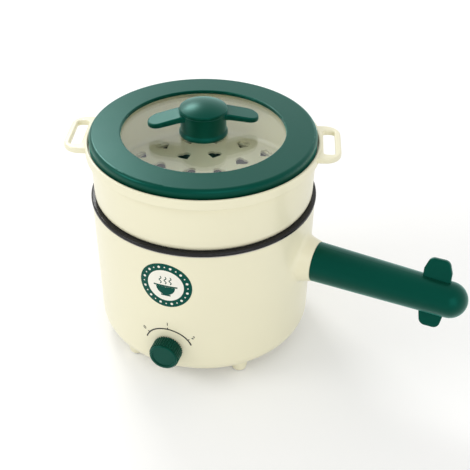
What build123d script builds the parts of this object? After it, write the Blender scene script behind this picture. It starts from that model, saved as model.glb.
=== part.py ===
from build123d import *

import os
from math import atan, cos, degrees, radians, sin, sqrt, tan

# An electric cooker: a round non-stick pot in a moulded casing with a long handle, a control knob and
# an appliance inlet, a steamer that stands in the pot's mouth, and a glass lid that lifts off.
# Millimetres. The origin is on the pot's axis at table level, +Z is up, the knob faces -Y and the
# handle points close to +X. Angles are in degrees, anticlockwise from +X when seen from above.

# Clearances that several pieces share
moulded_fit = 0.15
thread_fit = 0.05
running_gap = 0.3
cut_margin = 3.0

# Pot
mouth_radius = 89.2
pot_depth = 88.0
pot_wall = 2.0
pot_taper = 3.0
pot_corner = 22.0
rim_thickness = 3.0
rim_rounding = 1.3
rim_overhang = 0.7

# Casing and its inner shelf
casing_gap = 0.5
casing_wall = 2.6
casing_taper = 1.4
casing_corner = 15.0
seam_rise = 4.0
shelf_rise = 4.0
shelf_thickness = 2.5
shelf_opening = 52.0
service_height = 30.5
seal_thickness = 1.0
seal_setback = 0.2

# Base cover, feet and their screws
foot_height = 9.0
foot_count = 5
foot_turn = -49.0
foot_circle = 79.0
foot_root_radius = 8.4
foot_tip_radius = 6.2
foot_tip_rounding = 1.2
pad_radius = 4.6
pad_proud = 1.2
pad_seat = 0.9
spigot_wall = 2.0
spigot_rise = 3.0
spigot_gap = 0.4
screw_circle = 70.0
screw_post_radius = 5.0
screw_radius = 1.75
screw_head_radius = 3.4
screw_head_height = 2.0
screw_tip_gap = 0.5
vent_count = 12
vent_circle = 38.0
vent_length = 22.0
vent_width = 3.2

# Heater, its studs and the heat shield
plate_radius = 54.0
plate_thickness = 6.0
plate_hole_radius = 14.0
plate_switch_gap = 1.5
tube_circle = 40.0
tube_radius = 3.5
tube_bed = 3.0
tube_gap_angle = 40.0
tube_turn = 180.0
tube_leg = 9.0
tube_pin_radius = 1.5
tube_pin_length = 7.5
stud_count = 3
stud_turn = 60.0
stud_circle = 59.0
stud_radius = 2.0
stud_shoulder_radius = 3.5
stud_shoulder = 14.4
stud_tail = 0.8
stud_nut_radius = 4.0
stud_nut_height = 3.0
shield_radius = 63.0
shield_sheet = 0.8
shield_hole_radius = 13.0
shield_leg_gap = 2.5
shield_inlet_gap = 1.0

# Thermostat and thermal fuse
thermostat_cap_radius = 8.0
thermostat_flange_radius = 11.0
thermostat_flange = 1.2
thermostat_body_radius = 7.0
thermostat_body = 8.0
tab_thickness = 0.8
tab_width = 5.0
thermostat_tab_length = 7.0
thermostat_tab_spread = 5.0
clamp_sheet = 0.9
bracket_length = 52.0
bracket_width = 11.0
bracket_screw_spread = 21.0
heater_screw_radius = 1.4
heater_screw_head_radius = 2.6
heater_screw_head = 1.8
heater_screw_bite = 4.5
fuse_radius = 3.0
fuse_length = 26.0
fuse_offset = 26.0
fuse_lead_radius = 0.8
fuse_lead_reach = 20.0
fuse_lead_drop = 13.0
clip_width = 8.0
clip_foot = 6.0

# Control: switch in the casing, shaft and knob in front of it
switch_width = 28.0
switch_height = 18.0
switch_depth = 20.0
switch_wall = 2.5
switch_lift = 9.0
switch_seat_depth = 3.0
switch_pad_radius = 9.0
switch_cover_thickness = 3.0
switch_tab_spread = 8.0
switch_tab_drop = 6.0
switch_tab_length = 9.0
rotor_radius = 6.5
rotor_length = 6.0
bush_radius = 5.0
bush_beyond_nut = 1.2
shaft_radius = 3.0
shaft_flat = 2.2
shaft_socket = 1.5
nut_radius = 6.9
nut_thickness = 2.4
nut_spot_radius = 7.6
nut_spot_depth = 0.6
knob_radius = 12.8
knob_length = 12.0
knob_standoff = 1.0
knob_hollow_radius = 8.6
knob_nut_gap = 0.6
knob_crown = 3.0
knob_rib_count = 36
knob_rib_radius = 0.8
knob_bezel = 1.6
knob_bezel_setback = 0.9
knob_face_radius = 9.6
knob_face_depth = 0.6
knob_pointer_width = 1.8
knob_pointer_length = 9.5
knob_off_angle = 145.0

# Appliance inlet at the back
inlet_lift = 6.0
inlet_width = 27.0
inlet_height = 19.0
inlet_depth = 22.0
inlet_wall = 2.0
inlet_back_wall = 5.0
inlet_corner = 3.0
inlet_flange_width = 42.0
inlet_flange_height = 25.0
inlet_flange = 2.0
inlet_pad_margin = 2.0
inlet_pad_proud = 1.2
inlet_pin_width = 2.0
inlet_pin_height = 4.0
inlet_pin_length = 13.0
inlet_pin_spread = 7.0
inlet_pin_stagger = 2.0
inlet_tab_length = 8.0
inlet_screw_spread = 17.0
inlet_screw_radius = 1.4
inlet_screw_head_radius = 2.5
inlet_screw_head = 1.5
inlet_screw_length = 5.0

# Handle
handle_turn = -7.7
handle_drop = 44.0
boss_length = 11.0
boss_root_radius = 20.5
boss_end_radius = 17.4
boss_rounding = 1.0
boss_fillet = 6.0
tenon_radius = 11.0
tenon_length = 22.0
grip_root_radius = 17.0
grip_tip_radius = 14.8
grip_length = 113.0
grip_wall = 2.8
grip_web = 14.0
grip_root_rounding = 0.8
bolt_radius = 2.5
bolt_head_radius = 4.6
bolt_head = 3.4
bolt_recess = 0.4
washer_radius = 5.4
washer_thickness = 0.8
insert_radius = 4.2
insert_length = 11.0
wing_lean = 15.0
wing_thickness = 4.6
wing_root_length = 22.5
wing_tip_length = 15.5
wing_tip_setback = 3.4
wing_top_reach = 24.8
wing_low_reach = 33.8
wing_tip_rounding = 5.5
wing_edge_rounding = 1.3
wing_dome_setback = 1.2

# Steamer
steamer_height = 52.0
steamer_wall = 2.5
steamer_taper = 1.2
steamer_corner = 8.0
steamer_seat_angle = 45.0
steamer_seat_gap = 0.25
steamer_flange = 8.0
lip_projection = 3.7
lip_band = 8.5
lip_wall = 2.6
lip_depth = 5.0
lip_rounding = 1.0
ear_turn = 14.0
ear_width = 54.0
ear_reach = 15.5
ear_bar = 4.8
ear_side_bar = 8.0
ear_slot_gap = 1.2
ear_thickness = 5.0
ear_drop = 0.8
ear_corner = 13.0
ear_rounding = 1.5
steam_plate_thickness = 2.2
steam_plate_gap = 0.3
steam_plate_rounding = 0.6
heart_side = 7.4
heart_count_outer = 18
heart_count_middle = 11
heart_count_inner = 5
heart_share_outer = 0.85
heart_share_middle = 0.55
heart_share_inner = 0.24

# Lid
lid_gap = 1.1
lid_ring_height = 12.0
lid_ring_width = 25.5
lid_ring_rounding = 3.2
lid_ring_edge = 0.9
lid_lower_lip = 10.5
glass_rise = 5.0
glass_thickness = 4.0
glass_inset = 5.5
glass_edge_gap = 0.2
glass_hole_radius = 4.0
stem_radius = 18.6
stem_flare = 1.2
stem_flare_height = 4.0
stem_height = 19.0
stem_bore_radius = 13.0
stem_floor = 9.0
gasket_radius = 12.0
gasket_thickness = 0.8
lid_washer_radius = 8.0
lid_washer_thickness = 1.0
lid_screw_radius = 2.4
lid_screw_head_radius = 5.0
lid_screw_head = 2.6
lid_screw_bite = 7.0
lid_wing_turn = 26.0
lid_wing_span = 90.0
lid_wing_width = 19.0
lid_wing_thickness = 5.2
lid_wing_tip_thickness = 4.2
lid_wing_droop = 14.0
lid_wing_shoulder = 1.0
lid_wing_rounding = 1.2
cap_overhang = 0.6
cap_edge = 3.2
cap_dome = 4.6
cap_rounding = 0.9
cap_lug_depth = 4.0

# Leads inside the casing
lead_radius = 1.1
lead_tab_run = 9.0
lead_pin_run = 8.0
lead_short_run = 6.0
lead_lug_run = 12.5
lead_lug_rise = 3.0
lead_rise_high = 5.0
lead_rise_mid = 4.0
lead_rise_low = 1.0
live_turn_back = (26.0, 34.0)
live_turn_side = (43.0, 4.0)
live_turn_front = (33.0, -28.0)
switched_turn = (-24.0, -30.0)
neutral_turn = (-14.0, 44.0)

# Heights that follow from the stack
seam = foot_height + seam_rise
shelf_underside = seam + shelf_rise
shelf_top = shelf_underside + shelf_thickness
pot_underside = shelf_top + service_height
pot_floor = pot_underside + pot_wall
rim_height = pot_floor + pot_depth
casing_top = rim_height - rim_thickness - seal_thickness
cover_floor_top = foot_height + casing_wall
plate_underside = pot_underside - plate_thickness
shield_top = pot_underside - stud_shoulder
handle_height = rim_height - handle_drop
control_height = shelf_top + switch_lift + switch_height / 2
inlet_centre = shelf_top + inlet_lift + inlet_height / 2

# Radii that follow from the pot
pot_outer_radius = mouth_radius + pot_wall
casing_top_radius = pot_outer_radius + casing_gap + casing_wall
casing_low_radius = casing_top_radius - casing_taper
rim_radius = casing_top_radius + rim_overhang
corner_centre = casing_low_radius - casing_corner
screw_turn = foot_turn + 180.0 / foot_count


def casing_radius(height):
    """Outside radius of the casing's tapered wall at a height above its rounded corner."""
    return casing_low_radius + casing_taper * (height - foot_height) / (casing_top - foot_height)


def front_plane(reach):
    """Plane square to the knob's axis, its origin on that axis, reach in front of the pot's axis."""
    return Plane((0, -reach, control_height), x_dir=(1, 0, 0), z_dir=(0, -1, 0))


def rear_plane(reach):
    """Plane square to the inlet's axis, its origin on that axis, reach behind the pot's axis."""
    return Plane((0, reach, inlet_centre), x_dir=(-1, 0, 0), z_dir=(0, 1, 0))


def handle_plane(reach):
    """Plane square to the handle's axis, its origin on that axis, reach out from the pot's axis."""
    place = (reach * handle_dir[0], reach * handle_dir[1], handle_height)
    return Plane(place, x_dir=handle_side, z_dir=handle_dir)


def outline(plane, points, radii):
    """Closed face through the points on a plane, each corner rounded to its own radius."""
    with BuildSketch(plane) as face:
        with BuildLine():
            FilletPolyline(*points, radius=radii, close=True)
        make_face()
    return face.sketch


def ring(plane, outer, inner):
    """Flat ring on a plane."""
    with BuildSketch(plane) as face:
        Circle(outer)
        Circle(inner, mode=Mode.SUBTRACT)
    return face.sketch


def casing_outline(inset, top):
    """Half section of the casing's skin, drawn in by inset and closed at the height top."""
    low = foot_height + inset
    points = [(0, low), (casing_low_radius - inset, low), (casing_radius(top) - inset, top), (0, top)]
    return outline(casing_section, points, [0, casing_corner - inset, 0, 0])


def save(piece, name):
    """Label a finished piece and write it to its own file."""
    piece.part.label = name
    export_step(piece.part, f"parts/{name}.step")


os.makedirs("parts", exist_ok=True)

# Half plane away from the knob, the inlet and the handle, where the casing's section is drawn
casing_section = Plane((0, 0, 0), x_dir=(-1, 0, 0), z_dir=(0, 1, 0))

# Handle: places along its axis
handle_dir = (cos(radians(handle_turn)), sin(radians(handle_turn)), 0)
handle_side = (-sin(radians(handle_turn)), cos(radians(handle_turn)), 0)
handle_axis = Axis((0, 0, handle_height), handle_dir)
handle_section = Plane((0, 0, handle_height), x_dir=handle_dir, z_dir=(-handle_side[0], -handle_side[1], 0))
boss_root = casing_radius(handle_height)
boss_end = boss_root + boss_length
tenon_end = boss_end + tenon_length
web_start = tenon_end + running_gap
web_end = web_start + grip_web
dome_centre = boss_end + grip_length
bolt_seat = boss_root - casing_wall + bolt_recess + bolt_head + washer_thickness

# Control: reaches from the pot's axis towards the front
front_face = casing_radius(control_height)
switch_seat = front_face - casing_wall - switch_seat_depth
switch_back = switch_seat - switch_depth
switch_end = switch_back - switch_cover_thickness
nut_seat = front_face - nut_spot_depth
bush_end = nut_seat + nut_thickness + bush_beyond_nut
knob_back = front_face + knob_standoff
knob_floor = bush_end + knob_nut_gap
knob_front = knob_back + knob_length
shaft_tip = knob_front - knob_crown

# Inlet: reaches from the pot's axis towards the back
inlet_pad_face = casing_radius(inlet_centre) + inlet_pad_proud
inlet_back = inlet_pad_face - inlet_depth
inlet_floor = inlet_back + inlet_back_wall
inlet_tab_end = inlet_back - inlet_tab_length
inlet_pins_at = (
    (-inlet_pin_spread, -inlet_pin_stagger),
    (inlet_pin_spread, -inlet_pin_stagger),
    (0, inlet_pin_stagger),
)

# Hollow of the casing, less the shelf, screw posts and switch pad that stand in it
with BuildPart() as casing_hollow:
    revolve(casing_outline(casing_wall, casing_top + cut_margin), axis=Axis.Z)
    extrude(
        ring(Plane.XY.offset(shelf_underside), rim_radius, shelf_opening),
        amount=shelf_thickness,
        mode=Mode.SUBTRACT,
    )
    with BuildSketch(Plane.XY.offset(seam)):
        with PolarLocations(screw_circle, foot_count, start_angle=screw_turn):
            Circle(screw_post_radius)
    extrude(amount=shelf_rise, mode=Mode.SUBTRACT)
    with BuildSketch(front_plane(switch_seat)):
        Circle(switch_pad_radius)
    extrude(amount=switch_seat_depth + casing_wall, mode=Mode.SUBTRACT)

# Outer shell: tapered wall with the handle's boss and tenon, the inlet's pad and all their holes
with BuildPart() as outer_shell:
    revolve(casing_outline(0, casing_top), axis=Axis.Z)
    boss_points = [
        (boss_root - boss_length, 0),
        (boss_root - boss_length, 2 * boss_root_radius - boss_end_radius),
        (boss_end, boss_end_radius),
        (boss_end, tenon_radius),
        (tenon_end, tenon_radius),
        (tenon_end, 0),
    ]
    boss = outline(handle_section, boss_points, [0, 0, boss_rounding, 0, boss_rounding, 0])
    revolve(boss, axis=handle_axis)
    fillet(outer_shell.edges().filter_by(GeomType.BSPLINE), boss_fillet)
    with BuildSketch(rear_plane(inlet_pad_face)):
        RectangleRounded(
            inlet_flange_width + 2 * inlet_pad_margin,
            inlet_flange_height + 2 * inlet_pad_margin,
            inlet_corner + inlet_pad_margin,
        )
    extrude(amount=-inlet_depth / 2)
    add(casing_hollow.part, mode=Mode.SUBTRACT)
    split(bisect_by=Plane.XY.offset(seam), keep=Keep.TOP)
    with BuildSketch(front_plane(switch_seat - cut_margin)):
        Circle(bush_radius + moulded_fit)
    extrude(amount=switch_seat_depth + casing_wall + 2 * cut_margin, mode=Mode.SUBTRACT)
    with BuildSketch(front_plane(nut_seat)):
        Circle(nut_spot_radius)
    extrude(amount=nut_spot_depth + cut_margin, mode=Mode.SUBTRACT)
    with BuildSketch(rear_plane(inlet_pad_face)):
        RectangleRounded(
            inlet_width + 2 * moulded_fit, inlet_height + 2 * moulded_fit, inlet_corner + moulded_fit
        )
        with Locations((-inlet_screw_spread, 0), (inlet_screw_spread, 0)):
            Circle(inlet_screw_radius + thread_fit)
    extrude(amount=-inlet_depth / 2, mode=Mode.SUBTRACT)
    with BuildSketch(handle_plane(tenon_end)):
        Circle(bolt_radius + moulded_fit)
    extrude(amount=-(tenon_end - boss_root + 2 * casing_wall), mode=Mode.SUBTRACT)
    with BuildSketch(handle_plane(bolt_seat)):
        Circle(washer_radius + moulded_fit)
    extrude(amount=-(bolt_seat - boss_root + 2 * casing_wall), mode=Mode.SUBTRACT)
    with BuildSketch(Plane.XY.offset(shelf_underside)):
        with PolarLocations(stud_circle, stud_count, start_angle=stud_turn):
            Circle(stud_radius + moulded_fit)
    extrude(amount=shelf_thickness, mode=Mode.SUBTRACT)
    with BuildSketch(Plane.XY.offset(seam)):
        with PolarLocations(screw_circle, foot_count, start_angle=screw_turn):
            Circle(screw_radius + thread_fit)
    extrude(amount=shelf_top - seam - screw_tip_gap, mode=Mode.SUBTRACT)

# Base cover: the casing's underside with its feet, screw bosses, spigot and vents
spigot_radius = (
    corner_centre
    + sqrt((casing_corner - casing_wall) ** 2 - (foot_height + casing_corner - seam) ** 2)
    - spigot_gap
)
screw_seat = foot_height + screw_head_height + running_gap
with BuildPart() as base_cover:
    revolve(casing_outline(0, casing_top), axis=Axis.Z)
    revolve(casing_outline(casing_wall, casing_top + cut_margin), axis=Axis.Z, mode=Mode.SUBTRACT)
    split(bisect_by=Plane.XY.offset(seam), keep=Keep.BOTTOM)
    with Locations((0, 0, pad_proud)):
        with PolarLocations(foot_circle, foot_count, start_angle=foot_turn):
            Cone(
                foot_tip_radius,
                foot_root_radius,
                seam - pad_proud,
                align=(Align.CENTER, Align.CENTER, Align.MIN),
            )
    fillet(base_cover.edges().group_by(Axis.Z)[0], foot_tip_rounding)
    with BuildSketch(Plane.XY.offset(pad_proud)):
        with PolarLocations(foot_circle, foot_count, start_angle=foot_turn):
            Circle(pad_radius + moulded_fit)
    extrude(amount=pad_seat, mode=Mode.SUBTRACT)
    extrude(
        ring(Plane.XY.offset(cover_floor_top), spigot_radius, spigot_radius - spigot_wall),
        amount=seam - cover_floor_top + spigot_rise,
    )
    with BuildSketch(Plane.XY.offset(foot_height)):
        with PolarLocations(screw_circle, foot_count, start_angle=screw_turn):
            Circle(screw_post_radius)
    extrude(amount=seam_rise)
    with BuildSketch(Plane.XY.offset(foot_height)):
        with PolarLocations(screw_circle, foot_count, start_angle=screw_turn):
            Circle(screw_radius + moulded_fit)
        with PolarLocations(vent_circle, vent_count):
            SlotOverall(vent_length, vent_width)
    extrude(amount=seam_rise, mode=Mode.SUBTRACT)
    with BuildSketch(Plane.XY.offset(foot_height)):
        with PolarLocations(screw_circle, foot_count, start_angle=screw_turn):
            Circle(screw_head_radius + moulded_fit)
    extrude(amount=screw_seat - foot_height, mode=Mode.SUBTRACT)

with BuildPart() as foot_pads:
    with BuildSketch():
        with PolarLocations(foot_circle, foot_count, start_angle=foot_turn):
            Circle(pad_radius)
    extrude(amount=pad_proud + pad_seat)

with BuildPart() as base_screws:
    with BuildSketch(Plane.XY.offset(screw_seat)):
        with PolarLocations(screw_circle, foot_count, start_angle=screw_turn):
            Circle(screw_head_radius)
    extrude(amount=-screw_head_height)
    with BuildSketch(Plane.XY.offset(screw_seat)):
        with PolarLocations(screw_circle, foot_count, start_angle=screw_turn):
            Circle(screw_radius)
    extrude(amount=shelf_top - 2 * screw_tip_gap - screw_seat)

# Inner pot with its rounded rim, and the seal between rim and casing
pot_floor_radius = mouth_radius - pot_taper
with BuildPart() as inner_pot:
    pot_points = [
        (0, pot_floor),
        (pot_floor_radius, pot_floor),
        (mouth_radius, rim_height),
        (rim_radius, rim_height),
        (rim_radius, rim_height - rim_thickness),
        (pot_outer_radius, rim_height - rim_thickness),
        (pot_floor_radius + pot_wall, pot_underside),
        (0, pot_underside),
    ]
    pot_radii = [0, pot_corner, rim_rounding, rim_rounding, rim_rounding / 2, 0, pot_corner + pot_wall, 0]
    revolve(outline(Plane.XZ, pot_points, pot_radii), axis=Axis.Z)

with BuildPart() as rim_seal:
    seal_outer = casing_top_radius - seal_setback
    seal_inner = casing_top_radius - casing_wall + seal_setback
    extrude(ring(Plane.XY.offset(casing_top), seal_outer, seal_inner), amount=seal_thickness)

# Heater: plate under the pot, tube in its groove, studs, shield and the sleeves that carry it
tube_height = plate_underside - tube_radius + tube_bed
tube_pin_end = tube_height - tube_leg - tube_pin_length
tube_start = tube_turn + tube_gap_angle / 2
heater_screws_at = (
    (-bracket_screw_spread, 0),
    (bracket_screw_spread, 0),
    (0, fuse_offset - fuse_radius - clip_foot / 2 - clamp_sheet),
    (0, fuse_offset + fuse_radius + clip_foot / 2 + clamp_sheet),
)
with BuildPart() as heater_plate:
    extrude(ring(Plane.XY.offset(plate_underside), plate_radius, plate_hole_radius), amount=plate_thickness)
    with Locations((0, 0, tube_height)):
        Torus(tube_circle, tube_radius + thread_fit, mode=Mode.SUBTRACT)
    with BuildSketch(Plane.XY.offset(plate_underside)):
        with Locations(*heater_screws_at):
            Circle(heater_screw_radius + thread_fit)
    extrude(amount=heater_screw_bite + thread_fit, mode=Mode.SUBTRACT)
    with BuildSketch(Plane.XY.offset(plate_underside)):
        with Locations((0, plate_switch_gap - switch_end)):
            Rectangle(switch_width + 2 * plate_switch_gap, plate_radius, align=(Align.CENTER, Align.MAX))
    extrude(amount=plate_thickness, mode=Mode.SUBTRACT)

tube_ends = [(tube_circle, tube_turn - tube_gap_angle / 2), (tube_circle, tube_turn + tube_gap_angle / 2)]
tube_ends_at = [(r * cos(radians(a)), r * sin(radians(a))) for r, a in tube_ends]
with BuildPart() as heating_tube:
    start_dir = (cos(radians(tube_start)), sin(radians(tube_start)), 0)
    start_normal = (sin(radians(tube_start)), -cos(radians(tube_start)), 0)
    with BuildSketch(Plane((0, 0, tube_height), x_dir=start_dir, z_dir=start_normal)):
        with Locations((tube_circle, 0)):
            Circle(tube_radius)
    revolve(axis=Axis.Z, revolution_arc=360 - tube_gap_angle)
    with Locations(*[(x, y, tube_height) for x, y in tube_ends_at]):
        Sphere(tube_radius)
        Cylinder(tube_radius, tube_leg, align=(Align.CENTER, Align.CENTER, Align.MAX))
    with Locations(*[(x, y, tube_height - tube_leg) for x, y in tube_ends_at]):
        Cylinder(tube_pin_radius, tube_pin_length, align=(Align.CENTER, Align.CENTER, Align.MAX))

nut_bottom = shelf_underside - stud_nut_height
with BuildPart() as pot_studs:
    with BuildSketch(Plane.XY.offset(pot_underside)):
        with PolarLocations(stud_circle, stud_count, start_angle=stud_turn):
            Circle(stud_shoulder_radius)
    extrude(amount=-stud_shoulder)
    with BuildSketch(Plane.XY.offset(shield_top)):
        with PolarLocations(stud_circle, stud_count, start_angle=stud_turn):
            Circle(stud_radius)
    extrude(amount=-(shield_top - nut_bottom + stud_tail))

with BuildPart() as stud_sleeves:
    with BuildSketch(Plane.XY.offset(shelf_top)):
        with PolarLocations(stud_circle, stud_count, start_angle=stud_turn):
            Circle(stud_shoulder_radius)
            Circle(stud_radius + moulded_fit, mode=Mode.SUBTRACT)
    extrude(amount=shield_top - shield_sheet - shelf_top)

with BuildPart() as stud_nuts:
    with BuildSketch(Plane.XY.offset(shelf_underside)):
        with PolarLocations(stud_circle, stud_count, start_angle=stud_turn):
            RegularPolygon(stud_nut_radius, 6)
            Circle(stud_radius + thread_fit, mode=Mode.SUBTRACT)
    extrude(amount=-stud_nut_height)

with BuildPart() as heat_shield:
    with BuildSketch(Plane.XY.offset(shield_top)):
        Circle(shield_radius)
        Circle(shield_hole_radius, mode=Mode.SUBTRACT)
        with PolarLocations(stud_circle, stud_count, start_angle=stud_turn):
            Circle(stud_radius + moulded_fit, mode=Mode.SUBTRACT)
        with Locations(*tube_ends_at):
            Circle(tube_radius + shield_leg_gap, mode=Mode.SUBTRACT)
        with Locations((-fuse_lead_reach, fuse_offset), (fuse_lead_reach, fuse_offset)):
            Circle(fuse_lead_radius + shield_leg_gap, mode=Mode.SUBTRACT)
        with Locations((0, -(switch_end - switch_tab_length - shield_leg_gap))):
            Rectangle(
                switch_width + 2 * shield_leg_gap,
                shield_radius,
                align=(Align.CENTER, Align.MAX),
                mode=Mode.SUBTRACT,
            )
        with Locations((0, inlet_tab_end - shield_inlet_gap)):
            Rectangle(inlet_width, shield_radius, align=(Align.CENTER, Align.MIN), mode=Mode.SUBTRACT)
    extrude(amount=-shield_sheet)

# Thermostat on its bracket, touching the pot through the plate's hole, and the fuse in its clip
with BuildPart() as thermostat:
    flange_top = plate_underside + thermostat_flange
    with BuildSketch(Plane.XY.offset(plate_underside)):
        Circle(thermostat_flange_radius)
    extrude(amount=thermostat_flange)
    with BuildSketch(Plane.XY.offset(flange_top)):
        Circle(thermostat_cap_radius)
    extrude(amount=pot_underside - flange_top)
    with BuildSketch(Plane.XY.offset(plate_underside)):
        Circle(thermostat_body_radius)
    extrude(amount=-thermostat_body)
    with BuildSketch(Plane.XY.offset(plate_underside - thermostat_body)):
        with Locations((-thermostat_tab_spread, 0), (thermostat_tab_spread, 0)):
            Rectangle(tab_thickness, tab_width)
    extrude(amount=-thermostat_tab_length)

with BuildPart() as thermostat_bracket:
    with BuildSketch(Plane.XY.offset(plate_underside)):
        SlotOverall(bracket_length, bracket_width)
        Circle(thermostat_flange_radius)
        Circle(thermostat_body_radius + moulded_fit, mode=Mode.SUBTRACT)
        with Locations((-bracket_screw_spread, 0), (bracket_screw_spread, 0)):
            Circle(heater_screw_radius + moulded_fit, mode=Mode.SUBTRACT)
    extrude(amount=-clamp_sheet)

fuse_height = plate_underside - fuse_radius
fuse_lead_end = fuse_height - fuse_lead_drop
with BuildPart() as thermal_fuse:
    with BuildSketch(Plane((-fuse_length / 2, fuse_offset, fuse_height), z_dir=(1, 0, 0))):
        Circle(fuse_radius)
    extrude(amount=fuse_length)
    fillet(thermal_fuse.edges().filter_by(GeomType.CIRCLE), fuse_radius / 3)
    with BuildSketch(Plane((-fuse_lead_reach, fuse_offset, fuse_height), z_dir=(1, 0, 0))):
        Circle(fuse_lead_radius)
    extrude(amount=2 * fuse_lead_reach)
    with Locations(
        (-fuse_lead_reach, fuse_offset, fuse_height), (fuse_lead_reach, fuse_offset, fuse_height)
    ):
        Sphere(fuse_lead_radius)
        Cylinder(fuse_lead_radius, fuse_lead_drop, align=(Align.CENTER, Align.CENTER, Align.MAX))

with BuildPart() as fuse_clip:
    clip_outer = fuse_radius + moulded_fit + clamp_sheet
    with BuildSketch(Plane((-clip_width / 2, fuse_offset, fuse_height), x_dir=(0, 1, 0), z_dir=(1, 0, 0))):
        Circle(clip_outer)
        with Locations((0, 0)):
            Rectangle(2 * clip_outer, fuse_radius, align=(Align.CENTER, Align.MIN))
        with Locations((0, fuse_radius)):
            Rectangle(2 * (clip_outer + clip_foot), clamp_sheet, align=(Align.CENTER, Align.MAX))
            Rectangle(2 * clip_outer, 2 * clip_outer, align=(Align.CENTER, Align.MIN), mode=Mode.SUBTRACT)
        Circle(fuse_radius + moulded_fit, mode=Mode.SUBTRACT)
        with Locations((0, 0)):
            Rectangle(
                2 * (fuse_radius + moulded_fit),
                fuse_radius,
                align=(Align.CENTER, Align.MIN),
                mode=Mode.SUBTRACT,
            )
    extrude(amount=clip_width)
    with BuildSketch(Plane.XY.offset(plate_underside)):
        with Locations(*heater_screws_at[2:]):
            Circle(heater_screw_radius + moulded_fit)
    extrude(amount=-clamp_sheet, mode=Mode.SUBTRACT)

with BuildPart() as heater_screws:
    with BuildSketch(Plane.XY.offset(plate_underside - clamp_sheet)):
        with Locations(*heater_screws_at):
            Circle(heater_screw_head_radius)
    extrude(amount=-heater_screw_head)
    with BuildSketch(Plane.XY.offset(plate_underside - clamp_sheet)):
        with Locations(*heater_screws_at):
            Circle(heater_screw_radius)
    extrude(amount=clamp_sheet + heater_screw_bite)

# Rotary switch behind the front wall: block with its threaded bush, cover, tabs and nut
rotor_front = switch_seat - switch_wall - running_gap
with BuildPart() as rotary_switch:
    with BuildSketch(front_plane(switch_seat)):
        RectangleRounded(switch_width, switch_height, switch_wall)
    extrude(amount=-switch_depth)
    with BuildSketch(front_plane(switch_seat)):
        Circle(bush_radius)
    extrude(amount=bush_end - switch_seat)
    with BuildSketch(front_plane(switch_back)):
        Circle(rotor_radius + running_gap)
    extrude(amount=switch_depth - switch_wall, mode=Mode.SUBTRACT)
    with BuildSketch(front_plane(switch_back)):
        Circle(shaft_radius + thread_fit)
    extrude(amount=bush_end - switch_back, mode=Mode.SUBTRACT)

with BuildPart() as switch_cover:
    with BuildSketch(front_plane(switch_end)):
        RectangleRounded(switch_width, switch_height, switch_wall)
    extrude(amount=switch_cover_thickness)
    with BuildSketch(front_plane(switch_back)):
        Circle(shaft_radius + thread_fit)
    extrude(amount=-shaft_socket, mode=Mode.SUBTRACT)

with BuildPart() as switch_tabs:
    with BuildSketch(front_plane(switch_end)):
        with Locations((-switch_tab_spread, -switch_tab_drop), (switch_tab_spread, -switch_tab_drop)):
            Rectangle(tab_thickness, tab_width)
    extrude(amount=-switch_tab_length)

with BuildPart() as switch_nut:
    with BuildSketch(front_plane(nut_seat)):
        RegularPolygon(nut_radius, 6)
        Circle(bush_radius + thread_fit, mode=Mode.SUBTRACT)
    extrude(amount=nut_thickness)


def d_section(plane, clearance):
    """Round section with one flat, which keys the knob to the shaft."""
    with BuildSketch(plane) as face:
        Circle(shaft_radius + clearance)
        with Locations((0, shaft_flat + clearance)):
            Rectangle(4 * shaft_radius, shaft_radius, align=(Align.CENTER, Align.MIN), mode=Mode.SUBTRACT)
    return face.sketch


with BuildPart() as switch_shaft:
    with BuildSketch(front_plane(switch_back - shaft_socket + running_gap)):
        Circle(shaft_radius)
    extrude(amount=knob_floor - switch_back + shaft_socket - running_gap)
    with BuildSketch(front_plane(rotor_front)):
        Circle(rotor_radius)
    extrude(amount=-rotor_length)
    extrude(d_section(front_plane(knob_floor), 0), amount=shaft_tip - knob_floor)

# Knob: ribbed skirt, plain bezel, sunk face with a raised pointer, hollow back over the nut
bezel_back = knob_front - knob_bezel
with BuildPart() as control_knob:
    with BuildSketch(front_plane(knob_back)):
        Circle(knob_radius)
        with PolarLocations(knob_radius, knob_rib_count):
            Circle(knob_rib_radius, mode=Mode.SUBTRACT)
    extrude(amount=bezel_back - knob_back)
    with BuildSketch(front_plane(bezel_back)):
        Circle(knob_radius - knob_bezel_setback)
    extrude(amount=knob_bezel)
    fillet(control_knob.edges().group_by(Axis.Y)[0], knob_bezel / 2)
    with BuildSketch(front_plane(knob_front)):
        Circle(knob_face_radius)
    extrude(amount=-knob_face_depth, mode=Mode.SUBTRACT)
    pointer_plane = front_plane(knob_front - knob_face_depth)
    with BuildSketch(pointer_plane.rotated((0, 0, knob_off_angle))):
        SlotOverall(
            knob_pointer_length, knob_pointer_width, align=(Align.MIN, Align.CENTER)
        )
    extrude(amount=knob_face_depth)
    with BuildSketch(front_plane(knob_back)):
        Circle(knob_hollow_radius)
    extrude(amount=knob_floor - knob_back, mode=Mode.SUBTRACT)
    extrude(
        d_section(front_plane(knob_floor), thread_fit),
        amount=shaft_tip - knob_floor,
        mode=Mode.SUBTRACT,
    )

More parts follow.
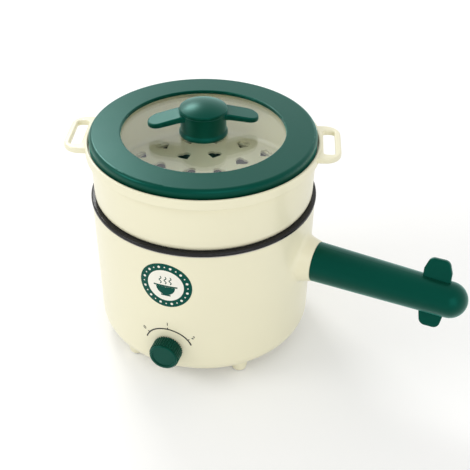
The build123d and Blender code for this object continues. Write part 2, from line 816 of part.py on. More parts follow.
# Appliance inlet: flanged socket, its pins and screws
with BuildPart() as inlet_housing:
    with BuildSketch(rear_plane(inlet_pad_face)):
        RectangleRounded(inlet_flange_width, inlet_flange_height, inlet_corner)
    extrude(amount=inlet_flange)
    with BuildSketch(rear_plane(inlet_pad_face)):
        RectangleRounded(inlet_width, inlet_height, inlet_corner)
    extrude(amount=-inlet_depth)
    with BuildSketch(rear_plane(inlet_floor)):
        RectangleRounded(inlet_width - 2 * inlet_wall, inlet_height - 2 * inlet_wall, inlet_corner / 2)
    extrude(amount=inlet_depth + inlet_flange, mode=Mode.SUBTRACT)
    with BuildSketch(rear_plane(inlet_back)):
        with Locations(*inlet_pins_at):
            Rectangle(inlet_pin_width + 2 * thread_fit, inlet_pin_height + 2 * thread_fit)
    extrude(amount=inlet_back_wall, mode=Mode.SUBTRACT)
    with BuildSketch(rear_plane(inlet_pad_face)):
        with Locations((-inlet_screw_spread, 0), (inlet_screw_spread, 0)):
            Circle(inlet_screw_radius + moulded_fit)
    extrude(amount=inlet_flange, mode=Mode.SUBTRACT)

with BuildPart() as inlet_pins:
    with BuildSketch(rear_plane(inlet_tab_end)):
        with Locations(*inlet_pins_at):
            Rectangle(inlet_pin_width, inlet_pin_height)
    extrude(amount=inlet_tab_length + inlet_back_wall + inlet_pin_length)

with BuildPart() as inlet_screws:
    with BuildSketch(rear_plane(inlet_pad_face + inlet_flange)):
        with Locations((-inlet_screw_spread, 0), (inlet_screw_spread, 0)):
            Circle(inlet_screw_head_radius)
    extrude(amount=inlet_screw_head)
    fillet(inlet_screws.edges().group_by(Axis.Y)[-1], inlet_screw_head / 2)
    with BuildSketch(rear_plane(inlet_pad_face + inlet_flange)):
        with Locations((-inlet_screw_spread, 0), (inlet_screw_spread, 0)):
            Circle(inlet_screw_radius)
    extrude(amount=-inlet_screw_length)

# Handle: hollow grip with a domed end, wing plate through it, bolt from inside the casing
wing_end = dome_centre - wing_dome_setback
wing_start = wing_end - wing_root_length
with BuildPart() as handle_grip:
    with BuildSketch(handle_section):
        with BuildLine():
            Polyline(
                (dome_centre + grip_tip_radius, 0), (boss_end, 0), (boss_end, grip_root_radius),
                (dome_centre, grip_tip_radius),
            )
            JernArc((dome_centre, grip_tip_radius), (1, 0), grip_tip_radius, -90)
        make_face()
    revolve(axis=handle_axis)
    fillet(handle_grip.edges().group_by(handle_axis)[0], grip_root_rounding)
    bore_radius = grip_tip_radius - grip_wall
    with BuildSketch(handle_section):
        with BuildLine():
            Polyline(
                (dome_centre + bore_radius, 0), (web_end, 0), (web_end, bore_radius),
                (dome_centre, bore_radius),
            )
            JernArc((dome_centre, bore_radius), (1, 0), bore_radius, -90)
        make_face()
    revolve(axis=handle_axis, mode=Mode.SUBTRACT)
    with BuildSketch(handle_plane(boss_end)):
        Circle(tenon_radius + moulded_fit)
    extrude(amount=web_start - boss_end, mode=Mode.SUBTRACT)
    with BuildSketch(handle_plane(web_start)):
        Circle(insert_radius)
    extrude(amount=insert_length, mode=Mode.SUBTRACT)
    wing_plane = handle_section.rotated((-wing_lean, 0, 0))
    slot_points = [
        (wing_start - moulded_fit, -2 * grip_root_radius),
        (wing_end + moulded_fit, -2 * grip_root_radius),
        (wing_end + moulded_fit, 2 * grip_root_radius),
        (wing_start - moulded_fit, 2 * grip_root_radius),
    ]
    extrude(
        outline(wing_plane, slot_points, [0, 0, 0, 0]),
        amount=wing_thickness / 2 + moulded_fit,
        both=True,
        mode=Mode.SUBTRACT,
    )

with BuildPart() as handle_wings:
    tip_end = wing_end - wing_tip_setback
    tip_start = tip_end - wing_tip_length
    wing_points = [
        (wing_start, -grip_tip_radius),
        (tip_start, -wing_low_reach),
        (tip_end, -wing_low_reach),
        (wing_end, -grip_tip_radius),
        (wing_end, grip_tip_radius),
        (tip_end, wing_top_reach),
        (tip_start, wing_top_reach),
        (wing_start, grip_tip_radius),
    ]
    tip = wing_tip_rounding
    wing_face = outline(wing_plane, wing_points, [0, tip, tip, 0, 0, tip, tip, 0])
    extrude(wing_face, amount=wing_thickness / 2, both=True)
    broad_faces = handle_wings.faces().sort_by(SortBy.AREA)[-2:]
    fillet(broad_faces.edges(), wing_edge_rounding)

with BuildPart() as handle_washer:
    extrude(
        ring(handle_plane(bolt_seat), washer_radius, bolt_radius + moulded_fit),
        amount=-washer_thickness,
    )

with BuildPart() as handle_bolt:
    with BuildSketch(handle_plane(bolt_seat - washer_thickness)):
        Circle(bolt_head_radius)
    extrude(amount=-bolt_head)
    with BuildSketch(handle_plane(bolt_seat - washer_thickness)):
        Circle(bolt_radius)
    extrude(amount=web_start + insert_length - running_gap - bolt_seat + washer_thickness)

with BuildPart() as handle_insert:
    extrude(ring(handle_plane(web_start), insert_radius, bolt_radius + thread_fit), amount=insert_length)

# Steamer: its rounded bottom edge rests on the rounded inner edge of the pot's rim
taper_angle = degrees(atan(steamer_taper / steamer_height))
seat_reach = steamer_corner + rim_rounding + steamer_seat_gap
steamer_corner_radius = mouth_radius + rim_rounding - seat_reach * sin(radians(steamer_seat_angle))
steamer_bottom = (
    rim_height - rim_rounding + seat_reach * cos(radians(steamer_seat_angle)) - steamer_corner
)
steamer_low_radius = steamer_corner_radius + steamer_corner * tan(radians(45 - taper_angle / 2))
steamer_top_radius = steamer_low_radius + steamer_taper
steamer_floor = steamer_bottom + steamer_wall
lip_top = steamer_bottom + steamer_height
lip_under = lip_top - lip_band
ledge = lip_top - lip_depth
lip_radius = steamer_top_radius + lip_projection
lip_inner = lip_radius - lip_wall
steam_plate_radius = steamer_corner_radius - steam_plate_gap

# One ear loop, pointing along +X
with BuildPart() as ear:
    ear_base = Plane.XY.offset(lip_top - ear_drop - ear_thickness)
    half_width = ear_width / 2
    ear_end = lip_radius + ear_reach
    ear_points = [(0, -half_width), (ear_end, -half_width), (ear_end, half_width), (0, half_width)]
    extrude(outline(ear_base, ear_points, [0, ear_corner, ear_corner, 0]), amount=ear_thickness)
    half_slot = half_width - ear_side_bar
    slot_start = lip_radius + ear_slot_gap
    slot_end = ear_end - ear_bar
    slot_points = [
        (slot_start, -half_slot),
        (slot_end, -half_slot),
        (slot_end, half_slot),
        (slot_start, half_slot),
    ]
    slot_corner = (slot_end - slot_start) / 3
    extrude(
        outline(ear_base, slot_points, [slot_corner] * 4), amount=ear_thickness, mode=Mode.SUBTRACT
    )
    with BuildSketch(ear_base):
        Circle(lip_inner + moulded_fit)
    extrude(amount=ear_thickness, mode=Mode.SUBTRACT)
    flat_faces = ear.faces().filter_by(Axis.Z)
    fillet(flat_faces.edges(), ear_rounding)

with BuildPart() as steamer_basket:
    basket_points = [
        (steam_plate_radius - steamer_flange, steamer_bottom),
        (steamer_low_radius, steamer_bottom),
        (steamer_top_radius, lip_under),
        (lip_radius, lip_under),
        (lip_radius, lip_top),
        (lip_inner, lip_top),
        (lip_inner, ledge),
        (steamer_top_radius - steamer_wall, ledge),
        (steamer_low_radius - steamer_wall, steamer_floor),
        (steam_plate_radius - steamer_flange, steamer_floor),
    ]
    lip = lip_rounding
    basket_radii = [0, steamer_corner, lip, lip, lip, lip, 0, lip / 2, steamer_corner - steamer_wall, 0]
    revolve(outline(Plane.XZ, basket_points, basket_radii), axis=Axis.Z)
    with PolarLocations(0, 2, start_angle=ear_turn):
        add(ear.part)

with BuildSketch() as heart:
    lobe = heart_side / (2 * sqrt(2))
    Rectangle(heart_side, heart_side, rotation=45)
    with Locations((lobe, lobe), (lobe, -lobe)):
        Circle(heart_side / 2)

with BuildPart() as steam_plate:
    with BuildSketch(Plane.XY.offset(steamer_floor)):
        Circle(steam_plate_radius)
    extrude(amount=steam_plate_thickness)
    fillet(steam_plate.edges().group_by(Axis.Z)[-1], steam_plate_rounding)
    with BuildSketch(Plane.XY.offset(steamer_floor)):
        with PolarLocations(heart_share_outer * steam_plate_radius, heart_count_outer):
            add(heart.sketch)
        with PolarLocations(heart_share_middle * steam_plate_radius, heart_count_middle):
            add(heart.sketch)
        with PolarLocations(heart_share_inner * steam_plate_radius, heart_count_inner):
            add(heart.sketch)
    extrude(amount=steam_plate_thickness, mode=Mode.SUBTRACT)

# Lid: ring that grips the glass and rests on the steamer's ledge
lid_radius = lip_inner - lid_gap
lid_top = ledge + lid_ring_height
glass_under = ledge + glass_rise
glass_top = glass_under + glass_thickness
glass_radius = lid_radius - glass_inset
with BuildPart() as lid_ring:
    groove = glass_radius + glass_edge_gap
    ring_points = [
        (lid_radius - lid_lower_lip, ledge),
        (lid_radius, ledge),
        (lid_radius, lid_top),
        (lid_radius - lid_ring_width, lid_top),
        (lid_radius - lid_ring_width, glass_top),
        (groove, glass_top),
        (groove, glass_under),
        (lid_radius - lid_lower_lip, glass_under),
    ]
    edge = lid_ring_edge
    ring_radii = [edge, edge, lid_ring_rounding, edge, 0, 0, 0, 0]
    revolve(outline(Plane.XZ, ring_points, ring_radii), axis=Axis.Z)

with BuildPart() as lid_glass:
    extrude(ring(Plane.XY.offset(glass_under), glass_radius, glass_hole_radius), amount=glass_thickness)

# Lid knob: hollow stem on the glass, cross bar with two drooping wings in its slot, domed cap
stem_top = glass_top + stem_height
wing_bottom = stem_top - lid_wing_thickness
wing_axis = (cos(radians(lid_wing_turn)), sin(radians(lid_wing_turn)), 0)
wing_side = (sin(radians(lid_wing_turn)), -cos(radians(lid_wing_turn)), 0)
lid_wing_section = Plane((0, 0, stem_top), x_dir=wing_axis, z_dir=wing_side)
with BuildPart() as lid_knob_stem:
    base_radius = stem_radius + stem_flare
    stem_points = [
        (0, glass_top),
        (base_radius, glass_top),
        (base_radius, glass_top + stem_flare_height / 2),
        (stem_radius, glass_top + stem_flare_height),
        (stem_radius, stem_top),
        (0, stem_top),
    ]
    revolve(outline(Plane.XZ, stem_points, [0, 0, stem_flare, stem_flare, 0, 0]), axis=Axis.Z)
    with BuildSketch(Plane.XY.offset(stem_top)):
        Circle(stem_bore_radius)
    extrude(amount=-(stem_height - stem_floor), mode=Mode.SUBTRACT)
    with BuildSketch(lid_wing_section):
        with Locations((0, -lid_wing_thickness / 2)):
            Rectangle(2 * base_radius, lid_wing_thickness)
    extrude(amount=lid_wing_width / 2 + moulded_fit, both=True, mode=Mode.SUBTRACT)
    with BuildSketch(Plane.XY.offset(glass_top)):
        Circle(gasket_radius + moulded_fit)
    extrude(amount=gasket_thickness, mode=Mode.SUBTRACT)
    with BuildSketch(Plane.XY.offset(glass_top)):
        Circle(lid_screw_radius + thread_fit)
    extrude(amount=gasket_thickness + lid_screw_bite + thread_fit, mode=Mode.SUBTRACT)

with BuildPart() as lid_wings:
    half_span = lid_wing_span / 2
    shoulder = stem_radius + lid_wing_shoulder
    fall = (half_span - shoulder) * tan(radians(lid_wing_droop))
    wing_points = [
        (-half_span, -fall),
        (-shoulder, 0),
        (shoulder, 0),
        (half_span, -fall),
        (half_span, -fall - lid_wing_tip_thickness),
        (shoulder, -lid_wing_thickness),
        (-shoulder, -lid_wing_thickness),
        (-half_span, -fall - lid_wing_tip_thickness),
    ]
    extrude(outline(lid_wing_section, wing_points, [0] * len(wing_points)), amount=lid_wing_width / 2, both=True)
    with BuildSketch(Plane((0, 0, stem_top), x_dir=wing_axis, z_dir=(0, 0, 1))):
        SlotOverall(lid_wing_span, lid_wing_width)
    extrude(amount=lid_wing_span / 2, both=True, mode=Mode.INTERSECT)
    fillet(lid_wings.edges(), lid_wing_rounding)

with BuildPart() as lid_knob_cap:
    cap_radius = stem_radius + cap_overhang
    cap_shoulder = stem_top + cap_edge
    dome_radius = (cap_radius**2 + cap_dome**2) / (2 * cap_dome)
    mid_radius = cap_radius / 2
    mid_height = cap_shoulder + cap_dome - dome_radius + sqrt(dome_radius**2 - mid_radius**2)
    with BuildSketch(Plane.XZ):
        with BuildLine():
            Polyline((0, cap_shoulder + cap_dome), (0, stem_top), (cap_radius, stem_top), (cap_radius, cap_shoulder))
            ThreePointArc((cap_radius, cap_shoulder), (mid_radius, mid_height), (0, cap_shoulder + cap_dome))
        make_face()
    revolve(axis=Axis.Z)
    fillet(lid_knob_cap.edges().filter_by(GeomType.CIRCLE), cap_rounding)
    with BuildSketch(Plane.XY.offset(stem_top)):
        Circle(stem_bore_radius - moulded_fit)
        Rectangle(
            4 * stem_radius, lid_wing_width + 2 * moulded_fit, rotation=lid_wing_turn, mode=Mode.SUBTRACT
        )
    extrude(amount=-cap_lug_depth)

with BuildPart() as lid_gasket:
    extrude(ring(Plane.XY.offset(glass_top), gasket_radius, lid_screw_radius + moulded_fit), amount=gasket_thickness)

with BuildPart() as lid_washer:
    extrude(
        ring(Plane.XY.offset(glass_under), lid_washer_radius, lid_screw_radius + moulded_fit),
        amount=-lid_washer_thickness,
    )

with BuildPart() as lid_screw:
    screw_shoulder = glass_under - lid_washer_thickness
    with BuildSketch(Plane.XY.offset(screw_shoulder)):
        Circle(lid_screw_head_radius)
    extrude(amount=-lid_screw_head)
    fillet(lid_screw.edges().group_by(Axis.Z)[0], lid_screw_head / 3)
    with BuildSketch(Plane.XY.offset(screw_shoulder)):
        Circle(lid_screw_radius)
    extrude(amount=glass_top + gasket_thickness + lid_screw_bite - screw_shoulder)

# Leads between inlet, switch, heater, thermostat, fuse and earth stud
switch_tab_end = -(switch_end - switch_tab_length)
stud_x = stud_circle * cos(radians(stud_turn))
stud_y = stud_circle * sin(radians(stud_turn))
thermostat_tab_end = plate_underside - thermostat_body - thermostat_tab_length
live_x, live_z = inlet_pin_spread, inlet_centre - inlet_pin_stagger
earth_z = inlet_centre + inlet_pin_stagger
(leg_b_x, leg_b_y), (leg_a_x, leg_a_y) = tube_ends_at
switch_tab_height = control_height - switch_tab_drop
lug_z = earth_z + lead_lug_rise
lead_routes = (
    (
        (live_x, inlet_tab_end, live_z),
        (live_x, inlet_tab_end - lead_tab_run, live_z),
        (*live_turn_back, shelf_top + lead_rise_high),
        (*live_turn_side, shelf_top + lead_rise_mid),
        (*live_turn_front, shelf_top + lead_rise_high),
        (switch_tab_spread, switch_tab_end + lead_tab_run, switch_tab_height),
        (switch_tab_spread, switch_tab_end, switch_tab_height),
    ),
    (
        (-switch_tab_spread, switch_tab_end, switch_tab_height),
        (-switch_tab_spread, switch_tab_end + lead_tab_run, switch_tab_height),
        (*switched_turn, shelf_top + lead_rise_low),
        (leg_a_x, leg_a_y, tube_pin_end - lead_pin_run),
        (leg_a_x, leg_a_y, tube_pin_end),
    ),
    (
        (leg_b_x, leg_b_y, tube_pin_end),
        (leg_b_x, leg_b_y, tube_pin_end - lead_pin_run),
        (-thermostat_tab_spread, 0, thermostat_tab_end - lead_tab_run),
        (-thermostat_tab_spread, 0, thermostat_tab_end),
    ),
    (
        (thermostat_tab_spread, 0, thermostat_tab_end),
        (thermostat_tab_spread, 0, thermostat_tab_end - lead_tab_run),
        (fuse_lead_reach, fuse_offset, fuse_lead_end - lead_pin_run),
        (fuse_lead_reach, fuse_offset, fuse_lead_end),
    ),
    (
        (-fuse_lead_reach, fuse_offset, fuse_lead_end),
        (-fuse_lead_reach, fuse_offset, fuse_lead_end - lead_short_run),
        (*neutral_turn, shelf_top + lead_rise_mid),
        (-live_x, inlet_tab_end - lead_tab_run, live_z),
        (-live_x, inlet_tab_end, live_z),
    ),
    (
        (0, inlet_tab_end, earth_z),
        (0, inlet_tab_end - lead_short_run, earth_z),
        (stud_x - stud_shoulder_radius - lead_lug_run, stud_y, lug_z),
        (stud_x - stud_shoulder_radius, stud_y, lug_z),
    ),
)


def bend_radii(route):
    """Largest even radius for each inner corner of a route: it takes 0.45 of the shorter run."""
    points = [Vector(*point) for point in route]
    radii = []
    for before, corner, after in zip(points, points[1:], points[2:]):
        run_in = corner - before
        run_out = after - corner
        half_turn = radians(run_in.get_angle(run_out)) / 2
        radii.append(0.45 * min(run_in.length, run_out.length) / tan(half_turn))
    return radii


with BuildPart() as lead_wires:
    for route in lead_routes:
        with BuildLine() as path:
            FilletPolyline(*route, radius=bend_radii(route))
        with BuildSketch(Plane(path.line @ 0, z_dir=path.line % 0)):
            Circle(lead_radius)
        sweep(path=path.line)

save(outer_shell, "outer_shell")
save(base_cover, "base_cover")
save(foot_pads, "foot_pads")
save(base_screws, "base_screws")
save(inner_pot, "inner_pot")
save(rim_seal, "rim_seal")
save(heater_plate, "heater_plate")
save(heating_tube, "heating_tube")
save(pot_studs, "pot_studs")
save(stud_sleeves, "stud_sleeves")
save(stud_nuts, "stud_nuts")
save(heat_shield, "heat_shield")
save(thermostat, "thermostat")
save(thermostat_bracket, "thermostat_bracket")
save(thermal_fuse, "thermal_fuse")
save(fuse_clip, "fuse_clip")
save(heater_screws, "heater_screws")
save(rotary_switch, "rotary_switch")
save(switch_cover, "switch_cover")
save(switch_tabs, "switch_tabs")
save(switch_nut, "switch_nut")
save(switch_shaft, "switch_shaft")
save(control_knob, "control_knob")
save(inlet_housing, "inlet_housing")
save(inlet_pins, "inlet_pins")
save(inlet_screws, "inlet_screws")
save(handle_grip, "handle_grip")
save(handle_wings, "handle_wings")
save(handle_washer, "handle_washer")
save(handle_bolt, "handle_bolt")
save(handle_insert, "handle_insert")
save(steamer_basket, "steamer_basket")
save(steam_plate, "steam_plate")
save(lid_ring, "lid_ring")
save(lid_glass, "lid_glass")
save(lid_knob_stem, "lid_knob_stem")
save(lid_wings, "lid_wings")
save(lid_knob_cap, "lid_knob_cap")
save(lid_gasket, "lid_gasket")
save(lid_washer, "lid_washer")
save(lid_screw, "lid_screw")
save(lead_wires, "lead_wires")
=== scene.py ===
from math import cos, isclose, pi, radians, sin, sqrt

import bmesh
import bpy
from mathutils import Matrix, Quaternion, Vector


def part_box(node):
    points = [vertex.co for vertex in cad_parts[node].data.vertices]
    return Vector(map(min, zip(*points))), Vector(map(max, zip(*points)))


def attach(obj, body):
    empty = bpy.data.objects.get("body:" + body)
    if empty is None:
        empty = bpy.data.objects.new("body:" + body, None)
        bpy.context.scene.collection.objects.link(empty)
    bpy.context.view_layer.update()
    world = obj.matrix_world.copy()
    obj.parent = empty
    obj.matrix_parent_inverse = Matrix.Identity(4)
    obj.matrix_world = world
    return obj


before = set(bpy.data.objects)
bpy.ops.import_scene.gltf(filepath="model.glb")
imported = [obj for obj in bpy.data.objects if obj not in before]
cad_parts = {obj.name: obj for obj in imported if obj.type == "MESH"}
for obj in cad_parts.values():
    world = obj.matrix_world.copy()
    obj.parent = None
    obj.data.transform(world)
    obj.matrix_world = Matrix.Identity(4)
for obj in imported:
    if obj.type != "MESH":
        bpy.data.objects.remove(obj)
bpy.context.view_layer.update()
SHELL_LOW, SHELL_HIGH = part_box("outer_shell")
KNOB_LOW, KNOB_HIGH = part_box("control_knob")
RIM_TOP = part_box("inner_pot")[1].z

bl_info = {
    "name": "Electric cooker finish",
    "version": (1, 0, 0),
    "blender": (4, 5, 0),
    "location": "View3D > Sidebar > Cooker",
    "description": "Finishes, printed marks and studio for an electric cooker with a steamer and lid",
    "category": "Object",
}

# Casing and pot, in metres

CASING_FOOT = 0.009  # height of the casing's lower edge above the table
RIM_POLISH_START = 0.0045  # depth below the rim's top at which the coating starts to turn into polish
RIM_POLISH_FULL = 0.0035  # depth below the rim's top at which the polish is full

# Badge, in metres from its middle

DISC_EYE = 0.0004  # radius of the small hole in the middle of a swept disc
FACE_LIFT = 0.9  # lift of the cream face, as a share of the print's lift
MARK_LIFT = 1.5  # lift of the dots and the motif, as a share of the print's lift
DOT_COUNT = 24
DOT_RADII = (0.0006, 0.0011)  # small and large dots take turns
BOWL_RADIUS = 0.0080
BOWL_DROP = 0.0012  # the bowl's middle below the badge's
BOWL_BAR = 0.0013  # thickness of the bowl's rim and foot
BOWL_RIM_WIDTH = 0.0200
BOWL_RIM_RISE = 0.0008
BOWL_FOOT_WIDTH = 0.0080
BOWL_FOOT_FALL = 0.0084
STEAM_STEP = 0.0042  # from one wisp to the next
STEAM_WIDTH = 0.0011
STEAM_WISP = ((0, 0.0030), (0.0016, 0.0044), (-0.0016, 0.0064), (0.0016, 0.0084), (0, 0.0100))  # sway, rise

# Dial, in metres from the knob's axis and in degrees from the right

DIAL_START = 18
DIAL_END = 163
DIAL_SETTINGS = (("2", 35), ("1", 90), ("0", 145))
TICK_LENGTH = 0.0014
TICK_WIDTH = 0.0008
TICK_SET_OFF = 0.0010  # from the arc's middle to the tick's
NUMBER_SET_OFF = 0.0055  # from the arc's middle to the number's
NUMBER_LEAN = 0.6  # how much of its turn round the dial a number leans by
MERGE_DISTANCE = 0.000001

# Studio, in metres

KEY_PLACE = (-1.15, -0.65, 1.05)
KEY_SIZE = 0.6
OVERHEAD_PLACE = (-0.90, 1.05, 1.30)
OVERHEAD_SIZE = 0.5
FILL_PLACE = (0.9, -1.3, 0.8)
FILL_SIZE = 1.2
FLOOR_REACH = 6.0
FLOOR_FADE = (0.35, 1.5)  # distances from the pot's axis between which the floor turns white
FLOOR_GLOW = (0.13, 0.5)  # the floor's own light at those distances
SENSOR_WIDTH = 36.0  # millimetres

# Spans of the textures' values that become a full change of tone, roughness or fleck

DRIFT_SPAN = (0.30, 0.70)
SMUDGE_SPAN = (0.30, 0.72)
FLECK_SPAN = (0.10, 0.24)


def colour_property(name, description, default):
    return bpy.props.FloatVectorProperty(
        name=name,
        description=description,
        default=(*default, 1.0),
        subtype="COLOR",
        size=4,
        min=0.0,
        max=1.0,
    )


def length_property(name, description, default):
    return bpy.props.FloatProperty(
        name=name, description=description, default=default, min=0.0, unit="LENGTH", precision=5
    )


def angle_property(name, description, default):
    return bpy.props.FloatProperty(
        name=name, description=description, default=radians(default), subtype="ANGLE"
    )


def power_property(name, description, default):
    return bpy.props.FloatProperty(
        name=name, description=description, default=default, min=0.0, unit="POWER"
    )


class CookerColours(bpy.types.PropertyGroup):
    """Colours of the finishes."""

    cream: colour_property("Cream", "Moulded casing and steamer", (0.86, 0.82, 0.60))
    green: colour_property("Green", "Handle, knob and lid ring", (0.0005, 0.029, 0.0145))
    sheen: colour_property("Sheen", "Tint of the soft shine on the green pieces", (0.08, 1.0, 0.84))
    coating: colour_property("Coating", "Non-stick inside of the pot", (0.040, 0.040, 0.043))
    fleck: colour_property("Flecks", "Flecks in the pot's coating", (0.16, 0.16, 0.165))
    rim: colour_property("Rim", "Polished edge of the pot", (0.012, 0.012, 0.013))
    glass: colour_property("Glass", "Lid glass", (0.95, 0.99, 0.97))
    steel: colour_property("Steel", "Screws, studs, brackets and heating tube", (0.56, 0.56, 0.55))
    aluminium: colour_property("Aluminium", "Heater plate and heat shield", (0.66, 0.66, 0.67))
    brass: colour_property("Brass", "Pins, tabs, switch nut and threaded insert", (0.72, 0.50, 0.19))
    silicone: colour_property("Silicone", "Seal of the rim and gasket of the lid", (0.62, 0.60, 0.55))
    rubber: colour_property("Rubber", "Foot pads", (0.10, 0.10, 0.098))
    black: colour_property("Black", "Inlet and switch", (0.012, 0.012, 0.013))
    white: colour_property("White", "Heat-proof thermostat, fuse and shaft", (0.72, 0.71, 0.67))
    sleeve: colour_property("Sleeve", "Sleeves of the leads", (0.42, 0.08, 0.04))
    badge_green: colour_property("Badge green", "Band and motif of the badge", (0.002, 0.056, 0.038))
    badge_cream: colour_property("Badge cream", "Face and dots of the badge", (0.90, 0.88, 0.78))
    print_ink: colour_property("Print", "Dial marks", (0.008, 0.011, 0.010))
    floor: colour_property("Floor", "Studio floor", (0.86, 0.86, 0.85))


class CookerSizes(bpy.types.PropertyGroup):
    """Sizes of the printed marks."""

    casing_top_radius: length_property("Casing radius", "Casing at its top edge", -SHELL_LOW.x)
    casing_taper: length_property("Casing taper", "How much the casing narrows to its foot", 0.0014)
    badge_radius: length_property("Badge radius", "Outside of the green band", 0.0217)
    badge_face_radius: length_property("Badge face radius", "Cream face inside the band", 0.0152)
    badge_height: length_property("Badge height", "Middle of the badge above the table", 0.1048)
    print_lift: length_property("Print lift", "How far print stands on the casing", 0.00016)
    dial_radius: length_property("Dial radius", "Arc round the knob", 0.0205)
    dial_line: length_property("Dial line", "Width of the arc", 0.0011)
    number_size: length_property("Number size", "Height of the dial's numbers", 0.0046)
    knob_height: length_property(
        "Knob height", "Knob's axis above the table", (KNOB_LOW.z + KNOB_HIGH.z) / 2
    )


class CookerStage(bpy.types.PropertyGroup):
    """Camera and studio."""

    azimuth: angle_property("Azimuth", "Camera round the pot, from the front to the handle", 19.6)
    elevation: angle_property("Elevation", "Camera above the pot's rim", 32.92)
    distance: length_property("Distance", "Camera to the middle of the pot's rim", 0.75398)
    yaw: angle_property("Yaw", "Camera turned off the rim's middle, sideways", -1.9616)
    pitch: angle_property("Pitch", "Camera turned off the rim's middle, down", -3.1296)
    roll: angle_property("Roll", "Camera turned about its own line of sight", 0.5268)
    lens: bpy.props.FloatProperty(
        name="Lens", description="Focal length", default=67.88, min=1.0, unit="CAMERA"
    )
    ambient: bpy.props.FloatProperty(
        name="Ambient", description="Light from all round", default=0.74, min=0.0
    )
    key: power_property("Key", "Soft box at the upper left", 5.4)
    overhead: power_property("Overhead", "Soft box above and behind", 9.6)
    fill: power_property("Fill", "Soft box at the right", 5.2)


class CookerSettings(bpy.types.PropertyGroup):
    """All settings of the cooker's finish."""

    colours: bpy.props.PointerProperty(type=CookerColours)
    sizes: bpy.props.PointerProperty(type=CookerSizes)
    stage: bpy.props.PointerProperty(type=CookerStage)


def settings():
    return bpy.context.scene.cooker


# Nodes


def feed(tree, item, socket):
    """Link a socket to another one, or set a plain value on it."""
    if isinstance(item, bpy.types.NodeSocket):
        tree.links.new(item, socket)
    else:
        socket.default_value = item


def noise(tree, vector, scale, detail, roughness=0.5):
    node = tree.nodes.new("ShaderNodeTexNoise")
    inputs = {"Vector": vector, "Scale": scale, "Detail": detail, "Roughness": roughness}
    for label, item in inputs.items():
        feed(tree, item, node.inputs[label])
    return node.outputs["Fac"]


def spread(tree, value, low, high, to_low, to_high):
    """Map a value's range to another, clamped."""
    node = tree.nodes.new("ShaderNodeMapRange")
    inputs = {"Value": value, "From Min": low, "From Max": high, "To Min": to_low, "To Max": to_high}
    for label, item in inputs.items():
        feed(tree, item, node.inputs[label])
    return node.outputs["Result"]


def mix(tree, factor, first, second, kind="RGBA"):
    """Go from one colour or value to another."""
    node = tree.nodes.new("ShaderNodeMix")
    node.data_type = kind
    for label, item in {"Factor": factor, "A": first, "B": second}.items():
        feed(tree, item, node.inputs[label])
    return node.outputs["Result"]


def seen_directly(tree):
    """1 for rays from the camera and for mirrored and refracted rays, 0 for light that bounces."""
    path = tree.nodes.new("ShaderNodeLightPath")
    total = path.outputs["Is Camera Ray"]
    for label in ("Is Glossy Ray", "Is Transmission Ray"):
        join = tree.nodes.new("ShaderNodeMath")
        join.operation = "MAXIMUM"
        tree.links.new(total, join.inputs[0])
        tree.links.new(path.outputs[label], join.inputs[1])
        total = join.outputs["Value"]
    return total


def set_sockets(shader, values):
    for label, value in values.items():
        shader.inputs[label].default_value = value


# Node groups shared by the finishes


def effect_group(name, inputs, outputs):
    """An empty shader node group with its sockets, and its input and output nodes."""
    group = bpy.data.node_groups.new(name, "ShaderNodeTree")
    for label, kind, value in inputs:
        socket = group.interface.new_socket(name=label, in_out="INPUT", socket_type=kind)
        if value is not None:
            socket.default_value = value
    for label, kind in outputs:
        group.interface.new_socket(name=label, in_out="OUTPUT", socket_type=kind)
    return group, group.nodes.new("NodeGroupInput"), group.nodes.new("NodeGroupOutput")


def tone_drift_group():
    """Slow change between two tones of one colour."""
    group, ins, outs = effect_group(
        "tone_drift",
        (
            ("Vector", "NodeSocketVector", None),
            ("Scale", "NodeSocketFloat", 14.0),
            ("Light tone", "NodeSocketColor", (1, 1, 1, 1)),
            ("Deep tone", "NodeSocketColor", (0.9, 0.9, 0.9, 1)),
        ),
        (("Color", "NodeSocketColor"),),
    )
    drift = noise(group, ins.outputs["Vector"], ins.outputs["Scale"], detail=3.0)
    mask = spread(group, drift, *DRIFT_SPAN, 0.0, 1.0)
    tone = mix(group, mask, ins.outputs["Light tone"], ins.outputs["Deep tone"])
    group.links.new(tone, outs.inputs["Color"])
    return group


def moulded_grain_group():
    """Fine texture of a moulded skin: a height for the bump and a roughness that varies."""
    group, ins, outs = effect_group(
        "moulded_grain",
        (
            ("Vector", "NodeSocketVector", None),
            ("Grain scale", "NodeSocketFloat", 2200.0),
            ("Smudge scale", "NodeSocketFloat", 26.0),
            ("Smooth", "NodeSocketFloat", 0.30),
            ("Rough", "NodeSocketFloat", 0.40),
        ),
        (("Height", "NodeSocketFloat"), ("Roughness", "NodeSocketFloat")),
    )
    grain = noise(group, ins.outputs["Vector"], ins.outputs["Grain scale"], detail=1.0)
    smudge = noise(group, ins.outputs["Vector"], ins.outputs["Smudge scale"], detail=4.0, roughness=0.6)
    rough = spread(group, smudge, *SMUDGE_SPAN, ins.outputs["Smooth"], ins.outputs["Rough"])
    group.links.new(grain, outs.inputs["Height"])
    group.links.new(rough, outs.inputs["Roughness"])
    return group


def speckle_group():
    """Small flecks scattered in a coating."""
    group, ins, outs = effect_group(
        "speckle",
        (("Vector", "NodeSocketVector", None), ("Scale", "NodeSocketFloat", 900.0)),
        (("Mask", "NodeSocketFloat"),),
    )
    cells = group.nodes.new("ShaderNodeTexVoronoi")
    group.links.new(ins.outputs["Vector"], cells.inputs["Vector"])
    group.links.new(ins.outputs["Scale"], cells.inputs["Scale"])
    flecks = spread(group, cells.outputs["Distance"], *FLECK_SPAN, 1.0, 0.0)
    group.links.new(flecks, outs.inputs["Mask"])
    return group


EFFECTS = {"tone_drift": tone_drift_group, "moulded_grain": moulded_grain_group, "speckle": speckle_group}


